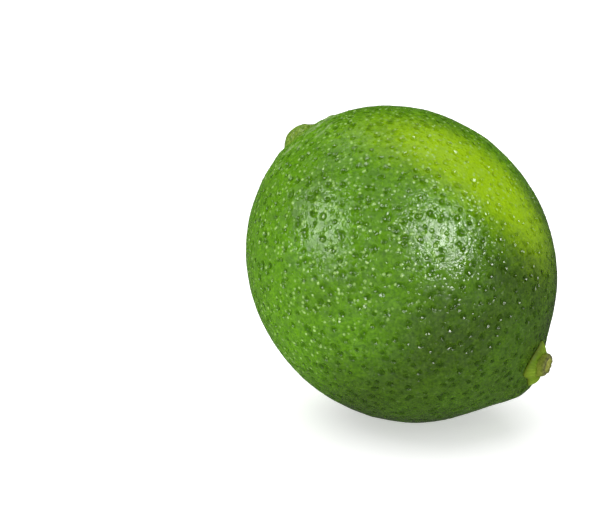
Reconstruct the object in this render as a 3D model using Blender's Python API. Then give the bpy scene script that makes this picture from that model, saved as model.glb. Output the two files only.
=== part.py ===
"""A whole lime, as picked: the fruit, its calyx and the stub of its stem.

Metres, +Z up. The fruit rests on a small flat spot. Its own axis lies over the X axis, with the nipple raised
to -X, and the stem end faces +X and a little towards -Y. The origin is on the resting surface, under the
middle of the bounding box. The fruit's own frame, where its shape is worked out, has its origin in the middle
of the body, +Z towards the nipple and +X on its upper side.
"""

import math

import bmesh
import bpy
from mathutils import Matrix, Vector

# The body, an ellipsoid along the fruit's own axis
BODY_DIAMETER = 0.054
BODY_LENGTH = 0.059
AXIS_TILT = math.radians(49)  # how far the nipple is raised above the horizontal
REST_FLAT_WIDTH = 0.012

# The nipple, a low dome with a groove round its foot, where the body draws up a little
NIPPLE_HEIGHT = 0.0013
NIPPLE_DIAMETER = 0.0072
NIPPLE_RISE = 0.0004
NIPPLE_RISE_WIDTH = 0.006
GROOVE_DEPTH = 0.0001
GROOVE_WIDTH = 0.0009

# The stem end, which sits to one side of the axis, on the upper slope of a low shoulder
STEM_SIDE = math.radians(-22)  # which way it leans, round the axis from the fruit's upper side
STEM_LEAN = math.radians(20.5)
SHOULDER_LEAN = math.radians(10)
SHOULDER_HEIGHT = 0.0026
SHOULDER_WIDTH = 0.006
SEAT_DEPTH = 0.0003
SEAT_WIDTH = 0.0035

# The stub of the stem, whose height is taken from the rind
STUB_DIAMETER = 0.004
STUB_HEIGHT = 0.0025
STUB_ROUNDING = 0.0008
STUB_CROWN = 0.0002

# The calyx, a star with a socket that holds the stub
GAP = 0.0003  # between any two pieces that meet
SOCKET_FLOOR = 0.0006
SOCKET_DEPTH = 0.0005
COLLAR_WALL = 0.0005
NOTCH_LAND = 0.0002  # from the collar out to the notches between the lobes
LOBE_COUNT = 5
LOBE_LENGTH = 0.0013
LOBE_THICKNESS = 0.0005

# How finely the surfaces are divided
FRUIT_RINGS = 52
FRUIT_SEGMENTS = 48
POLE_CROWDING = 0.6  # how much closer the fruit's rings lie at its ends than at its middle
CALYX_SEGMENTS = 60
CALYX_SLOPE_RINGS = 4
CALYX_UNDER_RINGS = 3
STUB_SEGMENTS = 28
STUB_ROUNDING_STEPS = 4
SURFACE_STEPS = 10  # rounds of closing in on the rind along a line
SLOPE_STEP = 1e-4  # how far apart, as a share of the radius, the rind is read to find its slope
CUT_TOLERANCE = 1e-7
CREASE_ANGLE = math.radians(40)

SOCKET_RADIUS = STUB_DIAMETER / 2 + GAP
COLLAR_RADIUS = SOCKET_RADIUS + COLLAR_WALL
NOTCH_RADIUS = COLLAR_RADIUS + NOTCH_LAND


def stem_end_way(lean):
    """The direction from the middle of the fruit that leans this far from its axis at the stem end."""
    across = math.sin(lean)
    return Vector((across * math.cos(STEM_SIDE), across * math.sin(STEM_SIDE), -math.cos(lean)))


NIPPLE_WAY = Vector((0, 0, 1))
STEM_WAY = stem_end_way(STEM_LEAN)
SHOULDER_WAY = stem_end_way(SHOULDER_LEAN)


def swell(distance, width):
    """1 at no distance, falling smoothly towards 0 well past the width."""
    return math.exp(-((distance / width) ** 2))


def dome(share):
    """The height of a full, round dome: 1 in the middle, and 0 where the share is 1, at its foot."""
    return (1 - min(share, 1) ** 3) ** 1.5


def rind_radius(way):
    """How far the rind lies from the middle of the fruit, in the direction of this unit vector."""
    body = 1 / math.hypot(way.xy.length / (BODY_DIAMETER / 2), way.z / (BODY_LENGTH / 2))
    from_nipple = body * way.angle(NIPPLE_WAY)
    foot = NIPPLE_DIAMETER / 2
    nipple = NIPPLE_HEIGHT * dome(from_nipple / foot) + NIPPLE_RISE * swell(from_nipple, NIPPLE_RISE_WIDTH)
    groove = GROOVE_DEPTH * swell(from_nipple - foot, GROOVE_WIDTH)
    shoulder = SHOULDER_HEIGHT * swell(body * way.angle(SHOULDER_WAY), SHOULDER_WIDTH)
    seat = SEAT_DEPTH * swell(body * way.angle(STEM_WAY), SEAT_WIDTH)
    return body + nipple - groove + shoulder - seat


def rind_point(way):
    return way * rind_radius(way)


def stem_frame():
    """A matrix with its origin on the rind at the stem, +Z straight out and +X away from the fruit's axis."""
    across = Vector((math.sin(STEM_SIDE), -math.cos(STEM_SIDE), 0))
    away = across.cross(STEM_WAY)
    ahead = rind_point((STEM_WAY + away * SLOPE_STEP).normalized())
    behind = rind_point((STEM_WAY - away * SLOPE_STEP).normalized())
    along = (ahead - behind).normalized()
    out = along.cross(across)
    frame = Matrix((along, across, out)).transposed().to_4x4()
    frame.translation = rind_point(STEM_WAY)
    return frame


def rind_height(frame, x, y):
    """The height of the rind over the stem frame's XY plane at this point of it."""
    z = 0.0
    for _ in range(SURFACE_STEPS):
        point = frame @ Vector((x, y, z))
        z += rind_radius(point.normalized()) - point.length
    return z


def ring(segments, place):
    """The points that place(angle) gives at equal angles round a circle."""
    return [place(2 * math.pi * i / segments) for i in range(segments)]


def level_ring(frame, segments, radius, height):
    """A circle round the frame's Z axis at this height."""
    return ring(segments, lambda a: frame @ Vector((radius * math.cos(a), radius * math.sin(a), height)))


def closed_skin(first, rings, last):
    """A closed mesh from one end point through rings of as many points each to the other end point."""
    bm = bmesh.new()
    start = bm.verts.new(first)
    loops = [[bm.verts.new(point) for point in points] for points in rings]
    end = bm.verts.new(last)
    count = len(loops[0])
    for i in range(count):
        after = (i + 1) % count
        bm.faces.new((start, loops[0][i], loops[0][after]))
        for upper, lower in zip(loops, loops[1:]):
            bm.faces.new((upper[i], lower[i], lower[after], upper[after]))
        bm.faces.new((end, loops[-1][after], loops[-1][i]))
    bmesh.ops.recalc_face_normals(bm, faces=bm.faces)
    return bm


def fruit_shape():
    """The body with its nipple, shoulder and stem seat, in rings round its own axis."""
    def at(polar):
        crowded = polar - POLE_CROWDING * math.sin(2 * polar) / 2

        def place(angle):
            across = math.sin(crowded)
            way = Vector((across * math.cos(angle), across * math.sin(angle), math.cos(crowded)))
            return rind_point(way.normalized())
        return ring(FRUIT_SEGMENTS, place)

    rings = [at(math.pi * i / FRUIT_RINGS) for i in range(1, FRUIT_RINGS)]
    return closed_skin(rind_point(NIPPLE_WAY), rings, rind_point(-NIPPLE_WAY))


def calyx_rim(angle):
    """How far the calyx reaches from the stem at this angle round it."""
    return NOTCH_RADIUS + LOBE_LENGTH * (1 + math.cos(LOBE_COUNT * angle)) / 2


def calyx_shape():
    """The star: a flat socket floor, a collar round it, and lobes that slope down to lie along the rind."""
    frame = stem_frame()
    floor = GAP + SOCKET_FLOOR
    collar_top = floor + SOCKET_DEPTH

    def slope(share):
        """A ring this share of the way from the collar's top down to the rim, where it is a lobe thick."""
        def place(angle):
            radius = COLLAR_RADIUS + share * (calyx_rim(angle) - COLLAR_RADIUS)
            x = radius * math.cos(angle)
            y = radius * math.sin(angle)
            fall = share * share * (3 - 2 * share)
            rim_top = rind_height(frame, x, y) + GAP + LOBE_THICKNESS
            return frame @ Vector((x, y, (1 - fall) * collar_top + fall * rim_top))
        return ring(CALYX_SEGMENTS, place)

    def under(share):
        """A ring of the underside, this share of the way out to the rim, a gap above the rind."""
        def place(angle):
            radius = share * calyx_rim(angle)
            x = radius * math.cos(angle)
            y = radius * math.sin(angle)
            return frame @ Vector((x, y, rind_height(frame, x, y) + GAP))
        return ring(CALYX_SEGMENTS, place)

    rings = [
        level_ring(frame, CALYX_SEGMENTS, SOCKET_RADIUS, floor),
        level_ring(frame, CALYX_SEGMENTS, SOCKET_RADIUS, collar_top),
        level_ring(frame, CALYX_SEGMENTS, COLLAR_RADIUS, collar_top),
    ]
    for i in range(1, CALYX_SLOPE_RINGS + 1):
        rings.append(slope(i / CALYX_SLOPE_RINGS))
    for i in range(CALYX_UNDER_RINGS, 0, -1):
        rings.append(under(i / CALYX_UNDER_RINGS))
    return closed_skin(frame @ Vector((0, 0, floor)), rings, frame @ Vector((0, 0, GAP)))


def stub_shape():
    """The stub: a short round stalk with a rounded, slightly crowned end, standing in the calyx's socket."""
    frame = stem_frame()
    foot = GAP + SOCKET_FLOOR + GAP
    rings = [level_ring(frame, STUB_SEGMENTS, STUB_DIAMETER / 2, foot)]
    for i in range(STUB_ROUNDING_STEPS + 1):
        turn = math.pi / 2 * i / STUB_ROUNDING_STEPS
        radius = STUB_DIAMETER / 2 - STUB_ROUNDING * (1 - math.cos(turn))
        height = STUB_HEIGHT - STUB_ROUNDING * (1 - math.sin(turn))
        rings.append(level_ring(frame, STUB_SEGMENTS, radius, height))
    tip = frame @ Vector((0, 0, STUB_HEIGHT + STUB_CROWN))
    return closed_skin(frame @ Vector((0, 0, foot)), rings, tip)


def cut_rest_flat(bm):
    """Cuts the flat spot that the fruit rests on, and returns its height."""
    lowest = min(vert.co.z for vert in bm.verts)
    height = lowest + (REST_FLAT_WIDTH / 2) ** 2 / BODY_DIAMETER
    geometry = bm.verts[:] + bm.edges[:] + bm.faces[:]
    cut = bmesh.ops.bisect_plane(
        bm, geom=geometry, dist=CUT_TOLERANCE, plane_co=(0, 0, height), plane_no=(0, 0, 1), clear_inner=True)
    rim = [item for item in cut["geom_cut"] if isinstance(item, bmesh.types.BMEdge)]
    bmesh.ops.contextual_create(bm, geom=rim)
    bmesh.ops.recalc_face_normals(bm, faces=bm.faces)
    return height


def material(name, colour, roughness):
    made = bpy.data.materials.new(name)
    made.use_nodes = True
    shader = made.node_tree.nodes["Principled BSDF"]
    shader.inputs["Base Color"].default_value = (*colour, 1)
    shader.inputs["Roughness"].default_value = roughness
    shader.inputs["Metallic"].default_value = 0
    return made


def make_object(name, bm, finish, parent):
    """A named object from the bmesh, smooth except along edges sharper than the crease angle."""
    mesh = bpy.data.meshes.new(name)
    bm.to_mesh(mesh)
    bm.free()
    mesh.materials.append(finish)
    mesh.shade_smooth()
    mesh.set_sharp_from_angle(angle=CREASE_ANGLE)
    made = bpy.data.objects.new(name, mesh)
    made.parent = parent
    bpy.context.collection.objects.link(made)
    return made


def main():
    for old in list(bpy.data.objects):
        bpy.data.objects.remove(old, do_unlink=True)

    # Turns the fruit's own frame so that the nipple points up and to -X, and its +X side faces up and to +X.
    lie = Matrix.Rotation(AXIS_TILT - math.pi / 2, 4, "Y")
    fruit = fruit_shape()
    calyx = calyx_shape()
    stub = stub_shape()
    for bm in (fruit, calyx, stub):
        bm.transform(lie)
    rest_height = cut_rest_flat(fruit)

    # The empty carries the middle of the fruit, placed so that the origin is under the whole box's middle.
    points = [vert.co for bm in (fruit, calyx, stub) for vert in bm.verts]
    middle = bpy.data.objects.new("fruit_middle", None)
    middle.location.x = -(min(p.x for p in points) + max(p.x for p in points)) / 2
    middle.location.y = -(min(p.y for p in points) + max(p.y for p in points)) / 2
    middle.location.z = -rest_height
    bpy.context.collection.objects.link(middle)

    make_object("fruit", fruit, material("rind", (0.06, 0.22, 0.01), 0.35), middle)
    make_object("calyx", calyx, material("calyx_green", (0.24, 0.34, 0.03), 0.6), middle)
    make_object("stem_stub", stub, material("stub_olive", (0.30, 0.30, 0.06), 0.75), middle)


main()
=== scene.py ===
"""The looks of the whole lime: its pitted waxy rind, the calyx and the stub of stem, and a plain studio."""

import math

import bmesh
import bpy
import numpy as np
from mathutils import Matrix, Vector, kdtree, noise


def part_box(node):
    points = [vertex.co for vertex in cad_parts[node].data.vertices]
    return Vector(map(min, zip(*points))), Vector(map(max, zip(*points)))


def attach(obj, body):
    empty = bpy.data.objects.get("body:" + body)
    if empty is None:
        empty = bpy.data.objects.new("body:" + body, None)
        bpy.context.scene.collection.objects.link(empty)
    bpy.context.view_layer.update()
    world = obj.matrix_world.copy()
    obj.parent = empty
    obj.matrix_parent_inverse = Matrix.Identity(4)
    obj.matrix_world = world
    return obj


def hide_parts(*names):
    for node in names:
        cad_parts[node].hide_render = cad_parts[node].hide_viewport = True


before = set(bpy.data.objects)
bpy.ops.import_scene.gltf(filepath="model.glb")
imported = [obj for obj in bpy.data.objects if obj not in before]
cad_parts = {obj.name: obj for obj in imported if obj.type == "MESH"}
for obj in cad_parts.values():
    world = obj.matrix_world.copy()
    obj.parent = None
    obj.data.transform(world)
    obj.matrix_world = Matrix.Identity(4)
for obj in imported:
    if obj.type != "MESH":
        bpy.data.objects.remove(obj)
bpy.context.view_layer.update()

fruit_low, fruit_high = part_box("fruit")
random = np.random.default_rng(11)

# The fruit's form, as the CAD solids have it, in metres and in the fruit's own frame: +Z to the nipple
BODY_DIAMETER = 0.054
BODY_LENGTH = 0.059
AXIS_TILT = math.radians(49)
NIPPLE_HEIGHT = 0.0013
NIPPLE_DIAMETER = 0.0072
NIPPLE_RISE = 0.0004
NIPPLE_RISE_WIDTH = 0.006
GROOVE_DEPTH = 0.0001
GROOVE_WIDTH = 0.0009
STEM_SIDE = math.radians(-22)
STEM_LEAN = math.radians(20.5)
SHOULDER_LEAN = math.radians(10)
SHOULDER_HEIGHT = 0.0026
SHOULDER_WIDTH = 0.006
SEAT_DEPTH = 0.0003
SEAT_WIDTH = 0.0035
STUB_DIAMETER = 0.004
STUB_HEIGHT = 0.0025

# The finer form of the stub and the calyx, which the CAD solids don't have
STUB_BEND = 0.0004
STUB_FOOT = 0.0004  # how far over the rind the stub starts
STUB_CORNER = 0.0006
CALYX_NOTCH = 0.0031
CALYX_CREST = 0.0013
CALYX_EDGE = 0.0003
CALYX_LOBES = (  # each one's middle in degrees, its length and its half width in degrees
    (346, 0.0013, 17),
    (95, 0.0008, 26),
    (158, 0.0014, 18),
    (203, 0.0009, 14),
    (268, 0.0010, 20),
)

# The rind's relief, in metres
GRID_CUTS = 127  # along each edge of the cube whose grid becomes the rind's mesh
# Pits: their spacing, its jitter as a share, and each one's width, depth and rim
LARGE_PITS = (0.0025, 0.30, 0.00062, 0.00014, 0.000030)
SMALL_PITS = (0.0015, 0.34, 0.00040, 0.00006, 0.000018)
SWELLINGS = ((0.00010, 0.007), (0.00005, 0.0026))  # height, breadth
NIPPLE_WRINKLES = (9, 0.0042, 0.0085, 0.00007)  # how many, where they start and end, depth
STEM_WRINKLES = (13, 0.0040, 0.0080, 0.00008)
NIPPLE_LUMPS = (0.00016, 0.0010, 0.0042)  # height, breadth, how far from the nipple's middle they reach
FOLD_REACH = 0.013
FOLD_RINGS = (  # each one's distance from the nipple's middle, its half width and its height
    (0.0046, 0.00028, 0.00012),
    (0.0056, 0.00030, 0.00018),
    (0.0066, 0.00032, 0.00018),
    (0.0079, 0.00036, 0.00016),
    (0.0096, 0.00040, 0.00012),
)

# The yellower stripe, in degrees
PALE_SIDE = -21  # round the axis from the fruit's upper side
PALE_MIDDLE = 15  # latitude, towards the nipple
PALE_HALF_WIDTH = 17
PALE_HALF_LENGTH = 48
PALE_TURN = 0.17  # how much the stripe swings round the axis, for each degree along it

# The camera, level across, aimed a little to the left of the fruit
CAMERA_AZIMUTH = math.radians(18)
CAMERA_ELEVATION = math.radians(15)
CAMERA_LENS = 100
CAMERA_DISTANCE = 0.3003
AIM_RIGHT = -0.0184
AIM_UP = 0.0013

# The lights that show only in the gloss: azimuth, elevation, width, height, power and roll
GLOSS_DISTANCE = 0.5
GLOSS_LIGHTS = {
    "right_softbox": (49, 33, 0.19, 0.19, 2.3, 0),
    "left_softbox": (-46, 26, 0.13, 0.32, 1.4, 34),
    "rear_softbox": (-124, 58, 0.07, 0.05, 0.08, 0),
}


def unit(vectors):
    return vectors / np.linalg.norm(vectors, axis=-1, keepdims=True)


def stem_end_way(lean):
    across = math.sin(lean)
    return np.array((across * math.cos(STEM_SIDE), across * math.sin(STEM_SIDE), -math.cos(lean)))


NIPPLE_WAY = np.array((0.0, 0.0, 1.0))
STEM_WAY = stem_end_way(STEM_LEAN)
SHOULDER_WAY = stem_end_way(SHOULDER_LEAN)


def swell(distance, width):
    """1 at no distance, falling smoothly towards 0 well past the width."""
    return np.exp(-((distance / width) ** 2))


def smooth(value, low, high):
    """0 below low, 1 above high, and a smooth step between."""
    share = np.clip((value - low) / (high - low), 0, 1)
    return share * share * (3 - 2 * share)


def angle_to(ways, way):
    return np.arccos(np.clip(ways @ way, -1, 1))


def rind_radius(ways):
    """How far the smooth rind lies from the middle of the fruit, in each of these unit directions."""
    across = np.hypot(ways[..., 0], ways[..., 1]) / (BODY_DIAMETER / 2)
    body = 1 / np.hypot(across, ways[..., 2] / (BODY_LENGTH / 2))
    from_nipple = body * angle_to(ways, NIPPLE_WAY)
    foot = NIPPLE_DIAMETER / 2
    nipple = NIPPLE_HEIGHT * (1 - np.minimum(from_nipple / foot, 1) ** 3) ** 1.5
    nipple = nipple + NIPPLE_RISE * swell(from_nipple, NIPPLE_RISE_WIDTH)
    groove = GROOVE_DEPTH * swell(from_nipple - foot, GROOVE_WIDTH)
    shoulder = SHOULDER_HEIGHT * swell(body * angle_to(ways, SHOULDER_WAY), SHOULDER_WIDTH)
    seat = SEAT_DEPTH * swell(body * angle_to(ways, STEM_WAY), SEAT_WIDTH)
    return body + nipple - groove + shoulder - seat


def lie_down(points):
    """Points of the fruit's own frame as they lie in the row's frame."""
    turn = np.array(Matrix.Rotation(AXIS_TILT - math.pi / 2, 3, "Y"))
    return points @ turn.T + MIDDLE


def half_extent(along_axis, across_axis):
    return math.hypot(BODY_LENGTH / 2 * along_axis, BODY_DIAMETER / 2 * across_axis)


MIDDLE = np.array((
    fruit_low.x + half_extent(math.cos(AXIS_TILT), math.sin(AXIS_TILT)),
    (fruit_low.y + fruit_high.y) / 2,
    fruit_high.z - half_extent(math.sin(AXIS_TILT), math.cos(AXIS_TILT)),
))


# ---------------------------------------------------------------- node helpers

class Nodes:
    """A material's node tree, with short calls for the nodes used here."""

    def __init__(self, name):
        self.material = bpy.data.materials.new(name)
        self.material.use_nodes = True
        self.tree = self.material.node_tree
        self.shader = self.tree.nodes["Principled BSDF"]

    def new(self, kind, **settings):
        node = self.tree.nodes.new(kind)
        for key, value in settings.items():
            setattr(node, key, value)
        return node

    def feed(self, socket, source):
        """Sets a socket to a number, or links it to another socket."""
        if isinstance(source, bpy.types.NodeSocket):
            self.tree.links.new(source, socket)
        else:
            socket.default_value = source

    def math(self, operation, a, b, clamp=False):
        node = self.new("ShaderNodeMath", operation=operation, use_clamp=clamp)
        self.feed(node.inputs[0], a)
        self.feed(node.inputs[1], b)
        return node.outputs[0]

    def plus(self, a, b, clamp=False):
        return self.math("ADD", a, b, clamp)

    def times(self, a, b):
        return self.math("MULTIPLY", a, b)

    def rest(self, share):
        """What the share leaves of 1."""
        return self.math("SUBTRACT", 1.0, share)

    def swing(self, noise, amount):
        """The noise's swing about its middle, times an amount."""
        return self.times(self.math("SUBTRACT", noise, 0.5), amount)

    def bowl(self, distance):
        """A round bowl's height: 0 in its middle, and 1 where the distance is 1 and beyond."""
        reach = self.math("MINIMUM", distance, 1.0)
        return self.times(reach, reach)

    def place(self):
        return self.new("ShaderNodeTexCoord").outputs["Object"]

    def noise(self, size, detail, roughness=0.5):
        """Noise whose patches are about this many metres across, from 0 to 1."""
        node = self.new("ShaderNodeTexNoise")
        self.feed(node.inputs["Vector"], self.place())
        self.feed(node.inputs["Scale"], 1 / size)
        self.feed(node.inputs["Detail"], detail)
        self.feed(node.inputs["Roughness"], roughness)
        return node.outputs["Fac"]

    def cells(self, size):
        """The distance to the nearest of the points strewn this far apart, and that point's own number."""
        node = self.new("ShaderNodeTexVoronoi")
        self.feed(node.inputs["Vector"], self.place())
        self.feed(node.inputs["Scale"], 1 / size)
        own = self.new("ShaderNodeSeparateColor")
        self.feed(own.inputs[0], node.outputs["Color"])
        return node.outputs["Distance"], own.outputs[0]

    def attribute(self, name):
        return self.new("ShaderNodeAttribute", attribute_name=name).outputs["Fac"]

    def span(self, value, low, high, to_low=0.0, to_high=1.0):
        """The value's smooth step from low to high, in the range from to_low to to_high."""
        node = self.new("ShaderNodeMapRange", interpolation_type="SMOOTHSTEP")
        for socket, number in zip(node.inputs, (value, low, high, to_low, to_high)):
            self.feed(socket, number)
        return node.outputs["Result"]

    def mix(self, share, first, second, blend="MIX"):
        """Colours given as tuples or sockets, mixed by a share."""
        node = self.new("ShaderNodeMix", data_type="RGBA", blend_type=blend)
        self.feed(node.inputs["Factor"], share)
        for socket, colour in ((node.inputs[6], first), (node.inputs[7], second)):
            self.feed(socket, (*colour, 1) if isinstance(colour, tuple) else colour)
        return node.outputs[2]

    def tint(self, share, colour, by):
        """The colour multiplied by another, by a share."""
        return self.mix(share, colour, self.mix(1.0, colour, by, "MULTIPLY"))

    def bump(self, height, distance, normal=None):
        node = self.new("ShaderNodeBump")
        self.feed(node.inputs["Height"], height)
        self.feed(node.inputs["Distance"], distance)
        if normal is not None:
            self.feed(node.inputs["Normal"], normal)
        return node.outputs["Normal"]

    def finish(self, **sockets):
        for name, source in sockets.items():
            self.feed(self.shader.inputs[name.replace("_", " ")], source)
        return self.material


# ---------------------------------------------------------------- materials

# the darker green towards the stem end and lower side: partly the rind's own darker stem end, partly
# painted shade
DARK_GREEN_AND_SHADE = (0.054, 0.124, 0.005)
MID_GREEN = (0.122, 0.332, 0.003)
PALE_GREEN = (0.345, 0.600, 0.001)
# pale specks: partly the glands' own paler dots, partly painted glints
GLAND_AND_GLINT_GREEN = (0.45, 0.71, 0.20)
# painted highlight: the paler green on the tops of the fold rings round the nipple
FOLD_HIGHLIGHT_GREEN = (0.30, 0.46, 0.15)
TIP_GREENS = ((0.120, 0.245, 0.008), (0.270, 0.400, 0.055))
MOTTLE_TINTS = ((0.80, 0.83, 0.7), (1.16, 1.12, 1.0))
GRIT_TINTS = ((0.76, 0.80, 0.7), (1.22, 1.16, 1.1))
# the darker colour in pores and pits: partly the glands' own darker green, partly painted shade in the
# hollows
PORE_COLOUR_AND_SHADE = (0.48, 0.56, 0.4)
PIT_COLOUR_AND_SHADE = (0.30, 0.42, 0.25)
PORE_SPACING = 0.0012
PORE_DEPTH = 0.00011
GLAND_SPACING = 0.00095
GLAND_RISE = 0.00010
PIT_EDGE_DEPTH = 0.00024  # sharpens the large pits that the mesh has
GRIT_SIZE = 0.0005
GRIT_RISE = 0.00011
BOWL_ROUGHNESS = 0.15
WAX_ROUGHNESS = (0.20, 0.34)


def rind_ground(n, broad, fine, grit):
    """The rind's greens without its pits, darker towards the stem end and lower side partly as painted
    shade, and how strongly marks show there: least in the stripe.
    """
    # painted shade in part: the rind turns from mid green to a darker green towards the stem end and lower
    # side
    share = n.plus(n.times(n.attribute("away_from_dark_shaded_stem_end"), 0.9), n.swing(broad, 1.1), clamp=True)
    colour = n.mix(share, DARK_GREEN_AND_SHADE, MID_GREEN)
    pale = n.plus(n.plus(n.attribute("pale"), n.swing(broad, 0.35)), n.swing(fine, 0.25))
    pale = n.span(pale, 0.06, 0.95)
    colour = n.mix(pale, colour, PALE_GREEN)
    marked = n.rest(n.times(pale, 0.75))
    colour = n.tint(marked, colour, n.mix(n.span(fine, 0.33, 0.68), *MOTTLE_TINTS))
    return n.tint(marked, colour, n.mix(n.span(grit, 0.3, 0.7), *GRIT_TINTS)), marked


def rind_material():
    """Greens that vary over three scales, darker towards the stem end partly as painted shade; dark pores
    and pits, darkened partly by painted shade, with a gloss in them; pale gland specks that are partly
    painted glints; and painted highlights on the folds round the nipple.
    """
    n = Nodes("rind_skin")
    broad = n.noise(0.013, detail=3)
    fine = n.noise(0.0012, detail=3, roughness=0.65)
    grit = n.noise(GRIT_SIZE, detail=2, roughness=0.6)
    colour, marked = rind_ground(n, broad, fine, grit)

    from_pore, pore_own = n.cells(PORE_SPACING)
    pore = n.bowl(n.math("DIVIDE", from_pore, n.span(pore_own, 0.0, 1.0, 0.24, 0.44)))
    pit = n.bowl(n.attribute("pit"))
    lower = n.math("MINIMUM", pore, pit)
    # pores and large pits darkened: partly their own darker colour, partly painted shade in the hollows
    colour = n.tint(n.times(n.times(n.rest(lower), 0.35), marked), colour, PORE_COLOUR_AND_SHADE)
    colour = n.tint(n.times(n.times(n.rest(pit), 0.5), marked), colour, PIT_COLOUR_AND_SHADE)

    # pale specks at the glands: partly their own paler dots, partly painted glints, faded towards the
    # darker stem end
    from_gland, gland_own = n.cells(GLAND_SPACING)
    from_gland = n.plus(from_gland, n.swing(grit, 0.5))
    gland_and_glint_speck = n.times(n.span(from_gland, 0.37, 0.12), n.span(gland_own, 0.2, 0.8, 0, 0.9))
    gland_and_glint_speck = n.times(gland_and_glint_speck, n.span(n.attribute("away_from_dark_shaded_stem_end"), 0.35, 1.0, 0.1, 1.0))
    colour = n.mix(gland_and_glint_speck, colour, GLAND_AND_GLINT_GREEN)
    tip = n.times(n.attribute("tip"), n.span(broad, 0.3, 0.6, 0.6, 0.85))
    colour = n.mix(tip, colour, n.mix(n.span(grit, 0.40, 0.60), *TIP_GREENS))
    # painted highlight: the tops of the fold rings round the nipple are painted a paler green, as light
    # streaks
    fold = n.times(n.attribute("fold"), n.span(grit, 0.3, 0.55, 0.25, 1.0))
    colour = n.mix(fold, colour, FOLD_HIGHLIGHT_GREEN)

    normal = n.bump(pore, PORE_DEPTH)
    normal = n.bump(n.span(from_gland, 0.45, 0.0), GLAND_RISE, normal)
    normal = n.bump(pit, PIT_EDGE_DEPTH, normal)
    normal = n.bump(grit, GRIT_RISE, normal)
    wax = n.span(n.noise(0.0025, detail=3), 0.3, 0.7, *WAX_ROUGHNESS)
    rougher = n.times(n.span(lower, 0.35, 1.0), n.math("SUBTRACT", wax, BOWL_ROUGHNESS))
    return n.finish(
        Base_Color=colour, Roughness=n.plus(BOWL_ROUGHNESS, rougher), Normal=normal,
        Specular_IOR_Level=0.6)


def calyx_material():
    n = Nodes("calyx_skin")
    fine = n.noise(0.0006, detail=3)
    broad = n.noise(0.0018, detail=2)
    colour = n.mix(n.attribute("ridge"), (0.115, 0.220, 0.004), (0.265, 0.415, 0.030))
    colour = n.mix(n.span(broad, 0.4, 0.7, 0, 0.6), colour, (0.160, 0.235, 0.008))
    colour = n.mix(n.span(fine, 0.4, 0.75, 0, 0.5), colour, (0.120, 0.190, 0.004))
    colour = n.mix(n.attribute("edge"), colour, (0.105, 0.150, 0.006))
    return n.finish(
        Base_Color=colour, Roughness=n.span(fine, 0.2, 0.8, 0.45, 0.6), Normal=n.bump(fine, 0.0001),
        Specular_IOR_Level=0.1)


def stub_material():
    n = Nodes("stub_skin")
    fine = n.noise(0.0005, detail=4, roughness=0.65)
    side = n.mix(n.span(fine, 0.35, 0.7), (0.250, 0.310, 0.030), (0.150, 0.200, 0.014))
    scar = n.mix(n.span(fine, 0.4, 0.6), (0.190, 0.200, 0.050), (0.085, 0.085, 0.028))
    face = n.mix(n.span(fine, 0.4, 0.6), (0.400, 0.430, 0.075), (0.240, 0.265, 0.030))
    colour = n.mix(n.attribute("pith"), n.mix(n.attribute("scar"), side, scar), face)
    return n.finish(
        Base_Color=colour, Roughness=n.span(fine, 0.2, 0.8, 0.6, 0.85), Normal=n.bump(fine, 0.00014),
        Specular_IOR_Level=0.2)


# ---------------------------------------------------------------- pieces

def add_piece(name, points, faces, material, node, shares):
    """A smooth-shaded piece that replaces a CAD node, with named per-point shares for its material."""
    mesh = bpy.data.meshes.new(name)
    mesh.from_pydata(points.tolist(), [], faces)
    for share_name, values in shares.items():
        layer = mesh.attributes.new(share_name, "FLOAT", "POINT")
        layer.data.foreach_set("value", np.asarray(values, dtype=np.float32))
    mesh.materials.append(material)
    mesh.shade_smooth()
    piece = bpy.data.objects.new(name, mesh)
    bpy.context.scene.collection.objects.link(piece)
    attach(piece, "root")
    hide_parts(node)


def sphere_grid(cuts):
    """Unit directions and quads of a cube's grid blown up to a sphere, nearly even all over."""
    bm = bmesh.new()
    bmesh.ops.create_cube(bm, size=2)
    bmesh.ops.subdivide_edges(bm, edges=bm.edges[:], cuts=cuts, use_grid_fill=True)
    points = np.array([vert.co for vert in bm.verts])
    faces = [[vert.index for vert in face.verts] for face in bm.faces]
    bm.free()
    return unit(np.tan(points * math.pi / 4)), faces


def spread_glands(spacing, jitter):
    """Directions spread over the sphere this far apart on the body, shaken out of line."""
    count = int(math.pi * BODY_DIAMETER * BODY_LENGTH / spacing ** 2)
    height = 1 - 2 * (np.arange(count) + 0.5) / count
    turn = np.arange(count) * math.pi * (3 - math.sqrt(5))
    across = np.sqrt(1 - height ** 2)
    ways = np.stack((across * np.cos(turn), across * np.sin(turn), height), axis=1)
    return unit(ways + random.normal(0, jitter * spacing / BODY_DIAMETER * 2, ways.shape))


def rind_relief(points):
    """The heights of pits and swellings, and how far out in a large pit each point is, 1 at its rim."""
    tree = kdtree.KDTree(len(points))
    for index, point in enumerate(points):
        tree.insert(point, index)
    tree.balance()
    height = np.zeros(len(points))
    pit = np.full(len(points), 2.0)
    for kind in (LARGE_PITS, SMALL_PITS):
        spacing, jitter, width, depth, rim = kind
        centres = spread_glands(spacing, jitter)
        centres = centres * rind_radius(centres)[:, None]
        sizes = random.uniform(0.7, 1.25, len(centres))
        for centre, size in zip(centres, sizes):
            reach = width * size
            for _, index, distance in tree.find_range(centre, reach * 2.2):
                share = distance / reach
                height[index] -= depth * size * math.exp(-(share ** 2) * 1.6)
                height[index] += rim * size * math.exp(-((share - 1.25) / 0.4) ** 2)
                if kind is LARGE_PITS:
                    pit[index] = min(pit[index], share)
    for index, point in enumerate(points):
        for rise, breadth in SWELLINGS:
            height[index] += rise * noise.noise(Vector(point) / breadth)
    return height, pit


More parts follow.
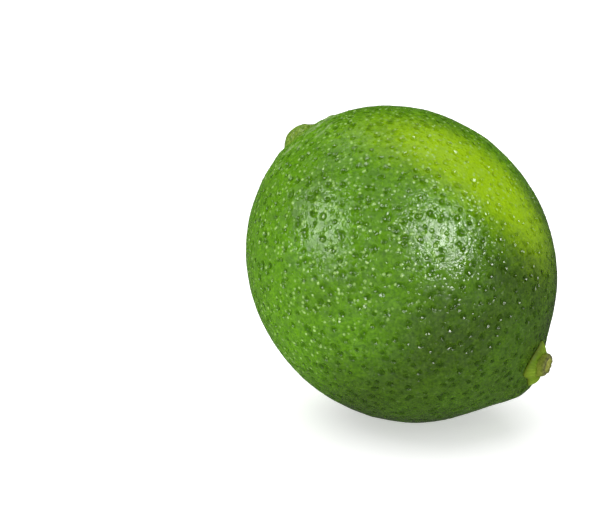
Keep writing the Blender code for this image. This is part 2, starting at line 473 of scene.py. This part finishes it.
def wrinkles(ways, way, count, near, far, depth):
    """Radial creases round one end of the fruit, between two distances from it."""
    side = unit(np.cross(way, (0.3, 1.0, 0.2)))
    turn = np.arctan2(ways @ np.cross(way, side), ways @ side)
    away = angle_to(ways, way) * BODY_DIAMETER / 2
    share = smooth(away, near * 0.6, near) * (1 - smooth(away, near, far))
    wave = np.cos(count * turn + 1.7 * np.sin(3 * turn)) + 0.5 * np.cos((2 * count + 1) * turn + 2)
    return depth * share * wave


def folds(points, away):
    """Low broken rings of skin round the nipple, and small lumps on it."""
    lump_rise, lump_breadth, lump_reach = NIPPLE_LUMPS
    height = np.zeros(len(points))
    for index in np.flatnonzero(away < FOLD_REACH):
        spot = Vector(points[index])
        wander = away[index] + 0.0018 * noise.noise(spot / 0.0045)
        strength = max(0.0, 0.45 + 2.2 * noise.noise(spot / 0.0028 + Vector((7, 0, 0))))
        for ring, width, rise in FOLD_RINGS:
            height[index] += rise * strength * math.exp(-((wander - ring) / width) ** 2)
        lumps = 1 - min(away[index] / lump_reach, 1) ** 4
        height[index] += lump_rise * lumps * noise.noise(spot / lump_breadth)
    return height


def pale_share(ways):
    """1 down the middle of the yellower stripe on the fruit's upper right side, fading to 0 beside it."""
    side = math.radians(PALE_SIDE)
    ahead = ways[:, 0] * math.cos(side) + ways[:, 1] * math.sin(side)
    aside = ways[:, 1] * math.cos(side) - ways[:, 0] * math.sin(side)
    off = np.degrees(np.arcsin(np.clip(aside, -1, 1)))
    on = np.degrees(np.arctan2(ways[:, 2], ahead)) - PALE_MIDDLE
    wide = np.exp(-np.abs((off + PALE_TURN * on) / PALE_HALF_WIDTH) ** 2)
    long = np.exp(-np.abs(on / PALE_HALF_LENGTH) ** 3) * (1 - 0.35 * smooth(on, 0, 40))
    return wide * long * (ahead > 0)


def make_rind():
    ways, faces = sphere_grid(GRID_CUTS)
    points = ways * rind_radius(ways)[:, None]
    from_nipple = angle_to(ways, NIPPLE_WAY) * BODY_DIAMETER / 2
    from_stem = angle_to(ways, STEM_WAY) * BODY_DIAMETER / 2
    height, pit = rind_relief(points)
    away_from_ends = smooth(from_nipple, 0.001, 0.004) * smooth(from_stem, 0.002, 0.005)
    height = height * (0.35 + 0.65 * away_from_ends)
    height += wrinkles(ways, NIPPLE_WAY, *NIPPLE_WRINKLES)
    fold = folds(points, from_nipple)
    height += fold
    height += wrinkles(ways, STEM_WAY, *STEM_WRINKLES)
    scale = np.array((BODY_DIAMETER, BODY_DIAMETER, BODY_LENGTH)) ** 2
    normals = unit(points / scale)
    placed = lie_down(points + normals * height[:, None])
    placed[:, 2] = np.maximum(placed[:, 2], 0)

    shares = {
        "pit": pit,
        "pale": pale_share(ways),
        # 1 towards the nipple, 0 towards the stem end, where the darker green and its painted shade lie
        "away_from_dark_shaded_stem_end": smooth(ways[:, 2], -0.6, 0.1),
        # where the painted highlight on the fold rings goes
        "fold": smooth(fold, 0.00003, 0.00014),
        "tip": 1 - smooth(from_nipple, 0.0030, 0.0048),
    }
    add_piece("rind", placed, faces, rind_material(), "fruit", shares)


def stem_frame():
    """The rind's point at the stem, and unit vectors there: away from the fruit's axis, across, and out."""
    across = np.array((math.sin(STEM_SIDE), -math.cos(STEM_SIDE), 0))
    away = np.cross(across, STEM_WAY)
    step = 1e-4
    ends = unit(np.stack((STEM_WAY + away * step, STEM_WAY - away * step)))
    ends = ends * rind_radius(ends)[:, None]
    along = unit(ends[0] - ends[1])
    return STEM_WAY * rind_radius(STEM_WAY), along, across, np.cross(along, across)


def from_stem(x, y, z):
    """Points given in the stem's frame, in the fruit's own frame."""
    origin, along, across, out = stem_frame()
    return origin + x[..., None] * along + y[..., None] * across + z[..., None] * out


def rind_height(x, y):
    """The height of the rind over the stem frame's plane."""
    z = np.zeros_like(x)
    for _ in range(10):
        points = from_stem(x, y, z)
        z = z + rind_radius(unit(points)) - np.linalg.norm(points, axis=-1)
    return z


def ring_faces(rings, segments):
    """Quads between rings of points, with the first and last rings closed by fans to two end points."""
    faces = []
    for low in range(0, (rings - 1) * segments, segments):
        high = low + segments
        for j in range(segments):
            k = (j + 1) % segments
            faces.append((low + j, low + k, high + k, high + j))
    first = rings * segments
    last = first + 1
    for j in range(segments):
        k = (j + 1) % segments
        faces.append((first, k, j))
        faces.append((last, (rings - 1) * segments + j, (rings - 1) * segments + k))
    return faces


def calyx_rim(turn):
    """How far the calyx reaches over the rind, and how far inside a lobe this is, from 0 to 1."""
    lobe = np.zeros_like(turn)
    reach = np.zeros_like(turn)
    for middle, length, half_width in CALYX_LOBES:
        off = np.degrees(np.angle(np.exp(1j * (turn - math.radians(middle))))) / half_width
        share = np.exp(-np.abs(off) ** 1.7)
        lobe = np.maximum(lobe, share)
        reach = np.maximum(reach, share * length)
    return CALYX_NOTCH + reach, lobe


def make_calyx():
    segments = 300
    turn = np.linspace(0, 2 * math.pi, segments, endpoint=False)
    rim, lobe = calyx_rim(turn)
    ribs = 0.5 + 0.5 * np.cos(31 * turn + 2 * np.sin(5 * turn) + 1.3 * np.sin(2 * turn))
    inner = STUB_DIAMETER / 2 - 0.0004
    places = []
    ridges = []
    edges = []
    for share in np.linspace(0, 1, 34):
        radius = inner + share * (rim - inner)
        x = radius * np.cos(turn)
        y = radius * np.sin(turn)
        crown = CALYX_CREST * (1 - share) ** 0.8 + CALYX_EDGE
        crown = crown - 0.00025 * swell(radius - STUB_DIAMETER / 2, 0.0003)
        crown = crown + 0.00018 * lobe * np.sin(math.pi * min(share * 1.15, 1)) ** 1.5
        crown = crown + 0.00006 * ribs * smooth(share, 0.15, 0.5)
        crown = crown * (1 - share ** 14) + 0.0001 * share ** 14
        rough = np.array([noise.noise(Vector((a, b, 0)) / 0.0007) for a, b in zip(x, y)])
        places.append(from_stem(x, y, rind_height(x, y) + crown + 0.00007 * rough))
        ridges.append((0.25 + 0.75 * lobe) * (0.45 + 0.55 * ribs) * smooth(share, 0.08, 0.5))
        edges.append(np.full(segments, share ** 12 + swell(share, 0.12)))
    for share in np.linspace(0.96, 0.2, 10):
        x = share * rim * np.cos(turn)
        y = share * rim * np.sin(turn)
        places.append(from_stem(x, y, rind_height(x, y) - 0.00005))
        ridges.append(np.zeros(segments))
        edges.append(np.ones(segments))
    centre = [from_stem(np.zeros(1), np.zeros(1), np.full(1, z)) for z in (CALYX_CREST, -0.00005)]
    points = np.concatenate([*places, *centre])
    faces = ring_faces(len(places), segments)
    ends = np.zeros(2)
    shares = {"ridge": np.concatenate((*ridges, ends)), "edge": np.concatenate((*edges, ends))}
    add_piece("calyx_star", lie_down(points), faces, calyx_material(), "calyx", shares)


def stub_profile():
    """The stub's outline from foot to the middle of its cut end: radius, height, scar and pith shares."""
    half = STUB_DIAMETER / 2
    outline = []
    for share in np.linspace(0, 1, 16):
        height = STUB_FOOT + share * (STUB_HEIGHT - STUB_CORNER - STUB_FOOT)
        outline.append((half * (1.06 - 0.06 * share), height, 0, 0))
    for bend in np.linspace(0, math.pi / 2, 9)[1:]:
        radius = half - STUB_CORNER * (1 - math.cos(bend))
        outline.append((radius, STUB_HEIGHT - STUB_CORNER * (1 - math.sin(bend)), math.sin(bend), 0))
    for share in np.linspace(0, 1, 14)[1:-1]:
        height = STUB_HEIGHT - 0.00018 * math.sin(math.pi * min(share * 1.6, 1))
        outline.append(((half - STUB_CORNER) * (1 - share), height, 1 - share, share))
    return outline


def make_stub():
    segments = 180
    turn = np.linspace(0, 2 * math.pi, segments, endpoint=False)
    lumps = 0.045 * np.cos(2 * turn + 0.5) + 0.045 * np.cos(5 * turn + 1) + 0.02 * np.cos(11 * turn)
    places = []
    scars = []
    piths = []
    for radius, height, scar, pith in stub_profile():
        reach = radius * (1 + lumps * (1 - pith))
        lean = STUB_BEND * (height / STUB_HEIGHT) ** 2
        x = reach * np.cos(turn)
        y = reach * np.sin(turn)
        rough = np.array([noise.noise(Vector((a, b, height)) / 0.0006) for a, b in zip(x, y)])
        z = height + 0.00014 * rough * scar
        side = 1 + 0.03 * rough * (1 - scar)
        places.append(from_stem(lean + x * side, y * side, z))
        scars.append(np.full(segments, scar * (1 - pith)))
        piths.append(np.full(segments, smooth(pith, 0.0, 0.3)))
    centre = [from_stem(np.full(1, x), np.zeros(1), np.full(1, z))
              for x, z in ((0.0, STUB_FOOT), (STUB_BEND, STUB_HEIGHT - 0.00002))]
    points = np.concatenate([*places, *centre])
    faces = [tuple(reversed(face)) for face in ring_faces(len(places), segments)]
    shares = {"scar": np.concatenate((*scars, (0, 0))), "pith": np.concatenate((*piths, (0, 1)))}
    add_piece("stem_stub_cut", lie_down(points), faces, stub_material(), "stem_stub", shares)


# ---------------------------------------------------------------- studio

def view_axes():
    """The camera's right, up and back directions."""
    a = CAMERA_AZIMUTH
    e = CAMERA_ELEVATION
    back = Vector((math.sin(a) * math.cos(e), -math.cos(a) * math.cos(e), math.sin(e)))
    right = Vector((math.cos(a), math.sin(a), 0))
    return right, back.cross(right), back


def make_camera():
    right, up, back = view_axes()
    middle = (fruit_low + fruit_high) / 2
    data = bpy.data.cameras.new("camera")
    data.lens = CAMERA_LENS
    data.sensor_width = 36
    data.clip_start = 0.01
    data.clip_end = 20
    camera = bpy.data.objects.new("camera", data)
    camera.location = middle + right * AIM_RIGHT + up * AIM_UP + back * CAMERA_DISTANCE
    camera.rotation_euler = back.to_track_quat("Z", "Y").to_euler()
    bpy.context.scene.collection.objects.link(camera)
    bpy.context.scene.camera = camera


def make_light(name, azimuth, elevation, distance, width, height, power, roll):
    """A softbox facing the fruit from this direction, in degrees, turned about its middle by the roll."""
    a = math.radians(azimuth)
    e = math.radians(elevation)
    back = Vector((math.sin(a) * math.cos(e), -math.cos(a) * math.cos(e), math.sin(e)))
    data = bpy.data.lights.new(name, "AREA")
    data.shape = "RECTANGLE"
    data.size = width
    data.size_y = height
    data.energy = power
    light = bpy.data.objects.new(name, data)
    light.location = Vector(MIDDLE) + back * distance
    light.rotation_euler = back.to_track_quat("Z", "Y").to_euler()
    light.rotation_euler.rotate_axis("Z", math.radians(roll))
    bpy.context.scene.collection.objects.link(light)
    return light


def make_floor():
    """A wide white sheet that glows a little and isn't mirrored in the fruit's gloss."""
    reach = 6.0
    corners = [(-reach, -reach, 0), (reach, -reach, 0), (reach, reach, 0), (-reach, reach, 0)]
    mesh = bpy.data.meshes.new("floor")
    mesh.from_pydata(corners, [], [(0, 1, 2, 3)])
    floor = bpy.data.objects.new("floor", mesh)
    bpy.context.scene.collection.objects.link(floor)
    floor.visible_glossy = False
    mesh.materials.append(Nodes("floor_white").finish(
        Base_Color=(0.92, 0.92, 0.92, 1), Roughness=0.6, Specular_IOR_Level=0.0,
        Emission_Color=(1, 1, 1, 1), Emission_Strength=0.5))


def make_studio():
    make_floor()
    make_surroundings()
    top = make_light("top_softbox", -125, 66, 1.8, 3.5, 3.5, 48, 0)
    top.visible_glossy = False
    for name, (azimuth, elevation, width, height, power, roll) in GLOSS_LIGHTS.items():
        gloss = make_light(name, azimuth, elevation, GLOSS_DISTANCE, width, height, power, roll)
        gloss.visible_diffuse = False
    bpy.context.scene.view_settings.view_transform = "Standard"


def make_surroundings():
    """White to the camera, a soft fill for the fruit, and in its gloss a faint glow round the horizon."""
    world = bpy.data.worlds.new("studio")
    bpy.context.scene.world = world
    world.use_nodes = True
    tree = world.node_tree
    path = tree.nodes.new("ShaderNodeLightPath")
    way = tree.nodes.new("ShaderNodeTexCoord")
    height = tree.nodes.new("ShaderNodeSeparateXYZ")
    band = tree.nodes.new("ShaderNodeMapRange")
    band.interpolation_type = "SMOOTHSTEP"
    tree.links.new(way.outputs["Generated"], height.inputs[0])
    tree.links.new(height.outputs["Z"], band.inputs["Value"])
    for name, number in (("From Min", 0.0), ("From Max", 0.35), ("To Min", 0.08), ("To Max", 0.005)):
        band.inputs[name].default_value = number
    strength = band.outputs["Result"]
    for seen, light in (("Is Diffuse Ray", 0.55), ("Is Camera Ray", 1.0)):
        choose = tree.nodes.new("ShaderNodeMix")
        tree.links.new(path.outputs[seen], choose.inputs["Factor"])
        tree.links.new(strength, choose.inputs["A"])
        choose.inputs["B"].default_value = light
        strength = choose.outputs["Result"]
    background = tree.nodes["Background"]
    background.inputs["Color"].default_value = (1, 1, 1, 1)
    tree.links.new(strength, background.inputs["Strength"])


make_rind()
make_calyx()
make_stub()
make_camera()
make_studio()
